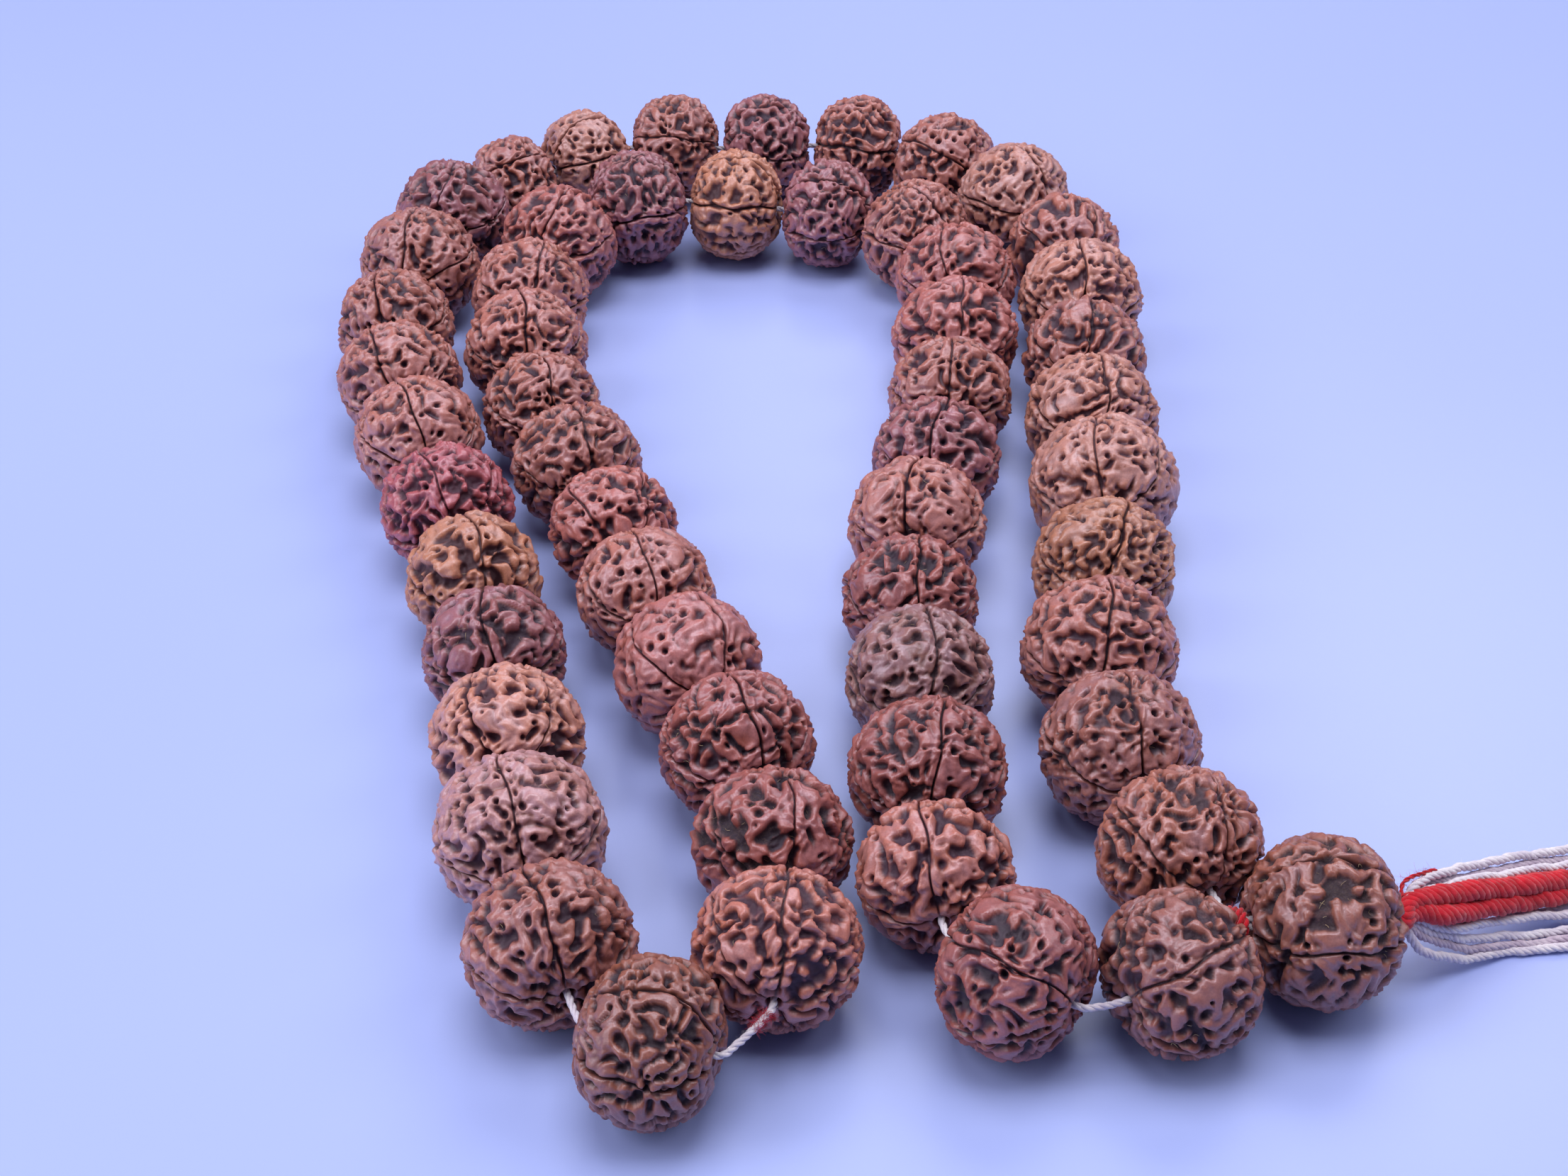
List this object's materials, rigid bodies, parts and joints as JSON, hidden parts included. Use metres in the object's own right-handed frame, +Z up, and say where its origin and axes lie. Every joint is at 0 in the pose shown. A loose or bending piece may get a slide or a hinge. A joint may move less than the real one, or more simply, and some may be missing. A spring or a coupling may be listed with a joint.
{
  "type": "mala prayer beads",
  "caption": "Closed loop of round, pitted wooden seeds on a cotton cord, joined at a guru seed that ends in a short cotton and yarn tassel.",
  "frame": {"origin": "middle of the strand's footprint on the table, at table height", "axes": "+Z up from the table, +Y along the long way of the folded strand towards its far bend, +X towards the side that the tassel leaves from"},
  "size_m": [0.2441, 0.2894, 0.0266],
  "materials": {
    "seed_red_brown": "oiled seed shell, satin",
    "seed_golden_tan": "oiled seed shell, satin",
    "seed_light_tan": "oiled seed shell, satin",
    "seed_dusty_brown": "oiled seed shell, satin",
    "seed_salmon": "oiled seed shell, satin",
    "seed_magenta_red": "oiled seed shell, satin",
    "seed_purple_brown": "oiled seed shell, satin",
    "seed_dark_brown": "oiled seed shell, satin",
    "seed_orange_brown": "oiled seed shell, satin",
    "cotton_cord": "plied cotton, matte",
    "red_yarn": "soft two-ply yarn, matte"
  },
  "bodies": {
    "strand": {"stringing_cord": "cotton_cord", "yarn_binding": "red_yarn"},
    "bead_01_body": {"bead_01": "seed_orange_brown"},
    "bead_02_body": {"bead_02": "seed_red_brown"},
    "bead_03_body": {"bead_03": "seed_red_brown"},
    "bead_04_body": {"bead_04": "seed_golden_tan"},
    "bead_05_body": {"bead_05": "seed_light_tan"},
    "bead_06_body": {"bead_06": "seed_light_tan"},
    "bead_07_body": {"bead_07": "seed_red_brown"},
    "bead_08_body": {"bead_08": "seed_light_tan"},
    "bead_09_body": {"bead_09": "seed_red_brown"},
    "bead_10_body": {"bead_10": "seed_red_brown"},
    "bead_11_body": {"bead_11": "seed_red_brown"},
    "bead_12_body": {"bead_12": "seed_red_brown"},
    "bead_13_body": {"bead_13": "seed_red_brown"},
    "bead_14_body": {"bead_14": "seed_red_brown"},
    "bead_15_body": {"bead_15": "seed_light_tan"},
    "bead_16_body": {"bead_16": "seed_red_brown"},
    "bead_17_body": {"bead_17": "seed_red_brown"},
    "bead_18_body": {"bead_18": "seed_purple_brown"},
    "bead_19_body": {"bead_19": "seed_red_brown"},
    "bead_20_body": {"bead_20": "seed_red_brown"},
    "bead_21_body": {"bead_21": "seed_red_brown"},
    "bead_22_body": {"bead_22": "seed_magenta_red"},
    "bead_23_body": {"bead_23": "seed_golden_tan"},
    "bead_24_body": {"bead_24": "seed_purple_brown"},
    "bead_25_body": {"bead_25": "seed_light_tan"},
    "bead_26_body": {"bead_26": "seed_dusty_brown"},
    "bead_27_body": {"bead_27": "seed_red_brown"},
    "bead_28_body": {"bead_28": "seed_orange_brown"},
    "bead_29_body": {"bead_29": "seed_red_brown"},
    "bead_30_body": {"bead_30": "seed_dark_brown"},
    "bead_31_body": {"bead_31": "seed_dark_brown"},
    "bead_32_body": {"bead_32": "seed_salmon"},
    "bead_33_body": {"bead_33": "seed_red_brown"},
    "bead_34_body": {"bead_34": "seed_salmon"},
    "bead_35_body": {"bead_35": "seed_salmon"},
    "bead_36_body": {"bead_36": "seed_red_brown"},
    "bead_37_body": {"bead_37": "seed_red_brown"},
    "bead_38_body": {"bead_38": "seed_red_brown"},
    "bead_39_body": {"bead_39": "seed_salmon"},
    "bead_40_body": {"bead_40": "seed_purple_brown"},
    "bead_41_body": {"bead_41": "seed_golden_tan"},
    "bead_42_body": {"bead_42": "seed_purple_brown"},
    "bead_43_body": {"bead_43": "seed_red_brown"},
    "bead_44_body": {"bead_44": "seed_salmon"},
    "bead_45_body": {"bead_45": "seed_salmon"},
    "bead_46_body": {"bead_46": "seed_red_brown"},
    "bead_47_body": {"bead_47": "seed_purple_brown"},
    "bead_48_body": {"bead_48": "seed_red_brown"},
    "bead_49_body": {"bead_49": "seed_dark_brown"},
    "bead_50_body": {"bead_50": "seed_dusty_brown"},
    "bead_51_body": {"bead_51": "seed_dark_brown"},
    "bead_52_body": {"bead_52": "seed_red_brown"},
    "bead_53_body": {"bead_53": "seed_dark_brown"},
    "bead_54_body": {"bead_54": "seed_red_brown"},
    "guru_bead_body": {"guru_bead": "seed_orange_brown"},
    "tassel": {"tassel_cotton_back": "cotton_cord", "tassel_red_yarn": "red_yarn", "tassel_cotton_front": "cotton_cord"}
  },
  "joints": [
    {"name": "bead_01_spin", "type": "hinge", "parent": "strand", "child": "bead_01_body", "pos_m": [0.06062, -0.09592, 0.01232], "axis": [-0.3583, 0.9336, 0], "continuous": true},
    {"name": "bead_02_spin", "type": "hinge", "parent": "strand", "child": "bead_02_body", "pos_m": [0.05446, -0.07422, 0.01256], "axis": [-0.1842, 0.9829, 0], "continuous": true},
    {"name": "bead_03_spin", "type": "hinge", "parent": "strand", "child": "bead_03_body", "pos_m": [0.05375, -0.05101, 0.0128], "axis": [0.1186, 0.9929, 0], "continuous": true},
    {"name": "bead_04_spin", "type": "hinge", "parent": "strand", "child": "bead_04_body", "pos_m": [0.05738, -0.02761, 0.01232], "axis": [0.1826, 0.9832, 0], "continuous": true},
    {"name": "bead_05_spin", "type": "hinge", "parent": "strand", "child": "bead_05_body", "pos_m": [0.05993, -0.00463, 0.01328], "axis": [0.0413, 0.9991, 0], "continuous": true},
    {"name": "bead_06_spin", "type": "hinge", "parent": "strand", "child": "bead_06_body", "pos_m": [0.06042, 0.01842, 0.01256], "axis": [0.0013, 1, 0], "continuous": true},
    {"name": "bead_07_spin", "type": "hinge", "parent": "strand", "child": "bead_07_body", "pos_m": [0.06136, 0.04051, 0.01207], "axis": [0.086, 0.9963, 0], "continuous": true},
    {"name": "bead_08_spin", "type": "hinge", "parent": "strand", "child": "bead_08_body", "pos_m": [0.06293, 0.06242, 0.01256], "axis": [0.0556, 0.9985, 0], "continuous": true},
    {"name": "bead_09_spin", "type": "hinge", "parent": "strand", "child": "bead_09_body", "pos_m": [0.06174, 0.0846, 0.01183], "axis": [-0.1715, 0.9852, 0], "continuous": true},
    {"name": "bead_10_spin", "type": "hinge", "parent": "strand", "child": "bead_10_body", "pos_m": [0.05258, 0.1052, 0.01256], "axis": [-0.6066, 0.795, 0], "continuous": true},
    {"name": "bead_11_spin", "type": "hinge", "parent": "strand", "child": "bead_11_body", "pos_m": [0.038, 0.12197, 0.01207], "axis": [-0.7036, 0.7106, 0], "continuous": true},
    {"name": "bead_12_spin", "type": "hinge", "parent": "strand", "child": "bead_12_body", "pos_m": [0.01832, 0.1321, 0.01183], "axis": [-0.9909, 0.1343, 0], "continuous": true},
    {"name": "bead_13_spin", "type": "hinge", "parent": "strand", "child": "bead_13_body", "pos_m": [-0.00319, 0.13269, 0.01183], "axis": [-0.9976, -0.0698, 0], "continuous": true},
    {"name": "bead_14_spin", "type": "hinge", "parent": "strand", "child": "bead_14_body", "pos_m": [-0.02455, 0.13258, 0.01183], "axis": [-0.9984, 0.057, 0], "continuous": true},
    {"name": "bead_15_spin", "type": "hinge", "parent": "strand", "child": "bead_15_body", "pos_m": [-0.04512, 0.12715, 0.01111], "axis": [-0.8243, -0.5661, 0], "continuous": true},
    {"name": "bead_16_spin", "type": "hinge", "parent": "strand", "child": "bead_16_body", "pos_m": [-0.06108, 0.11622, 0.01063], "axis": [-0.8259, -0.5639, 0], "continuous": true},
    {"name": "bead_17_spin", "type": "hinge", "parent": "strand", "child": "bead_17_body", "pos_m": [-0.07247, 0.09828, 0.01232], "axis": [-0.2018, -0.9794, 0], "continuous": true},
    {"name": "bead_18_spin", "type": "hinge", "parent": "strand", "child": "bead_18_body", "pos_m": [-0.07706, 0.07684, 0.01232], "axis": [-0.218, -0.9759, 0], "continuous": true},
    {"name": "bead_19_spin", "type": "hinge", "parent": "strand", "child": "bead_19_body", "pos_m": [-0.07899, 0.05354, 0.01159], "axis": [0.0722, -0.9974, 0], "continuous": true},
    {"name": "bead_20_spin", "type": "hinge", "parent": "strand", "child": "bead_20_body", "pos_m": [-0.07523, 0.03256, 0.01183], "axis": [0.2748, -0.9615, 0], "continuous": true},
    {"name": "bead_21_spin", "type": "hinge", "parent": "strand", "child": "bead_21_body", "pos_m": [-0.06872, 0.01237, 0.01183], "axis": [0.3381, -0.9411, 0], "continuous": true},
    {"name": "bead_22_spin", "type": "hinge", "parent": "strand", "child": "bead_22_body", "pos_m": [-0.06079, -0.00928, 0.01183], "axis": [0.3475, -0.9377, 0], "continuous": true},
    {"name": "bead_23_spin", "type": "hinge", "parent": "strand", "child": "bead_23_body", "pos_m": [-0.05356, -0.02998, 0.01159], "axis": [0.3111, -0.9504, 0], "continuous": true},
    {"name": "bead_24_spin", "type": "hinge", "parent": "strand", "child": "bead_24_body", "pos_m": [-0.04757, -0.05074, 0.01183], "axis": [0.243, -0.97, 0], "continuous": true},
    {"name": "bead_25_spin", "type": "hinge", "parent": "strand", "child": "bead_25_body", "pos_m": [-0.04319, -0.07175, 0.01207], "axis": [0.166, -0.9861, 0], "continuous": true},
    {"name": "bead_26_spin", "type": "hinge", "parent": "strand", "child": "bead_26_body", "pos_m": [-0.03908, -0.09356, 0.0128], "axis": [0.2039, -0.979, 0], "continuous": true},
    {"name": "bead_27_spin", "type": "hinge", "parent": "strand", "child": "bead_27_body", "pos_m": [-0.0328, -0.11539, 0.01232], "axis": [0.3506, -0.9365, 0], "continuous": true},
    {"name": "bead_28_spin", "type": "hinge", "parent": "strand", "child": "bead_28_body", "pos_m": [-0.01742, -0.13248, 0.01183], "axis": [0.9613, -0.2756, 0], "continuous": true},
    {"name": "bead_29_slide", "type": "slide", "parent": "strand", "child": "bead_29_body", "axis": [0.0497, 0.9988, 0], "range_m": [-0.0008, 0.0003]},
    {"name": "bead_30_spin", "type": "hinge", "parent": "strand", "child": "bead_30_body", "pos_m": [-0.00079, -0.09444, 0.01183], "axis": [-0.1291, 0.9916, 0], "continuous": true},
    {"name": "bead_31_spin", "type": "hinge", "parent": "strand", "child": "bead_31_body", "pos_m": [-0.00648, -0.07346, 0.01207], "axis": [-0.385, 0.9229, 0], "continuous": true},
    {"name": "bead_32_spin", "type": "hinge", "parent": "strand", "child": "bead_32_body", "pos_m": [-0.01512, -0.05383, 0.01207], "axis": [-0.4199, 0.9075, 0], "continuous": true},
    {"name": "bead_33_spin", "type": "hinge", "parent": "strand", "child": "bead_33_body", "pos_m": [-0.02307, -0.03419, 0.01159], "axis": [-0.3286, 0.9445, 0], "continuous": true},
    {"name": "bead_34_spin", "type": "hinge", "parent": "strand", "child": "bead_34_body", "pos_m": [-0.02992, -0.01505, 0.01135], "axis": [-0.345, 0.9386, 0], "continuous": true},
    {"name": "bead_35_spin", "type": "hinge", "parent": "strand", "child": "bead_35_body", "pos_m": [-0.03797, 0.00406, 0.01183], "axis": [-0.4292, 0.9032, 0], "continuous": true},
    {"name": "bead_36_spin", "type": "hinge", "parent": "strand", "child": "bead_36_body", "pos_m": [-0.04611, 0.02311, 0.01135], "axis": [-0.3529, 0.9357, 0], "continuous": true},
    {"name": "bead_37_spin", "type": "hinge", "parent": "strand", "child": "bead_37_body", "pos_m": [-0.05118, 0.04374, 0.01207], "axis": [-0.128, 0.9918, 0], "continuous": true},
    {"name": "bead_38_spin", "type": "hinge", "parent": "strand", "child": "bead_38_body", "pos_m": [-0.0524, 0.06521, 0.01183], "axis": [0.0165, 0.9999, 0], "continuous": true},
    {"name": "bead_39_spin", "type": "hinge", "parent": "strand", "child": "bead_39_body", "pos_m": [-0.04809, 0.08687, 0.01232], "axis": [0.3677, 0.93, 0], "continuous": true},
    {"name": "bead_40_spin", "type": "hinge", "parent": "strand", "child": "bead_40_body", "pos_m": [-0.03183, 0.10255, 0.01232], "axis": [0.9465, 0.3228, 0], "continuous": true},
    {"name": "bead_41_spin", "type": "hinge", "parent": "strand", "child": "bead_41_body", "pos_m": [-0.00971, 0.10445, 0.01183], "axis": [0.9886, -0.1508, 0], "continuous": true},
    {"name": "bead_42_spin", "type": "hinge", "parent": "strand", "child": "bead_42_body", "pos_m": [0.01078, 0.10113, 0.01159], "axis": [0.9854, -0.17, 0], "continuous": true},
    {"name": "bead_43_spin", "type": "hinge", "parent": "strand", "child": "bead_43_body", "pos_m": [0.02982, 0.09097, 0.01183], "axis": [0.6835, -0.7299, 0], "continuous": true},
    {"name": "bead_44_spin", "type": "hinge", "parent": "strand", "child": "bead_44_body", "pos_m": [0.03722, 0.07002, 0.01232], "axis": [-0.0358, -0.9994, 0], "continuous": true},
    {"name": "bead_45_spin", "type": "hinge", "parent": "strand", "child": "bead_45_body", "pos_m": [0.0359, 0.04816, 0.01232], "axis": [-0.0833, -0.9965, 0], "continuous": true},
    {"name": "bead_46_spin", "type": "hinge", "parent": "strand", "child": "bead_46_body", "pos_m": [0.03368, 0.02681, 0.01183], "axis": [-0.1249, -0.9922, 0], "continuous": true},
    {"name": "bead_47_spin", "type": "hinge", "parent": "strand", "child": "bead_47_body", "pos_m": [0.02978, 0.00595, 0.01183], "axis": [-0.2409, -0.9706, 0], "continuous": true},
    {"name": "bead_48_spin", "type": "hinge", "parent": "strand", "child": "bead_48_body", "pos_m": [0.02511, -0.01478, 0.01207], "axis": [-0.1983, -0.9801, 0], "continuous": true},
    {"name": "bead_49_spin", "type": "hinge", "parent": "strand", "child": "bead_49_body", "pos_m": [0.02285, -0.03605, 0.01159], "axis": [-0.008, -1, 0], "continuous": true},
    {"name": "bead_50_spin", "type": "hinge", "parent": "strand", "child": "bead_50_body", "pos_m": [0.02337, -0.05714, 0.01207], "axis": [0.0544, -0.9985, 0], "continuous": true},
    {"name": "bead_51_spin", "type": "hinge", "parent": "strand", "child": "bead_51_body", "pos_m": [0.02355, -0.07974, 0.01232], "axis": [-0.0388, -0.9992, 0], "continuous": true},
    {"name": "bead_52_spin", "type": "hinge", "parent": "strand", "child": "bead_52_body", "pos_m": [0.02357, -0.10111, 0.01159], "axis": [0.0461, -0.9989, 0], "continuous": true},
    {"name": "bead_53_spin", "type": "hinge", "parent": "strand", "child": "bead_53_body", "pos_m": [0.03386, -0.12051, 0.01232], "axis": [0.8, -0.6, 0], "continuous": true},
    {"name": "bead_54_slide", "type": "slide", "parent": "strand", "child": "bead_54_body", "axis": [0.8572, 0.515, 0], "range_m": [-0.0008, 0.0003]},
    {"name": "guru_spin", "type": "hinge", "parent": "strand", "child": "guru_bead_body", "pos_m": [0.07928, -0.11088, 0.01232], "axis": [0.9994, 0.0349, 0], "continuous": true},
    {"name": "tassel_swing", "type": "hinge", "parent": "strand", "child": "tassel", "pos_m": [0.09047, -0.11049, 0.01232], "axis": [0, 0, 1], "range_deg": [-20, 20]}
  ]
}
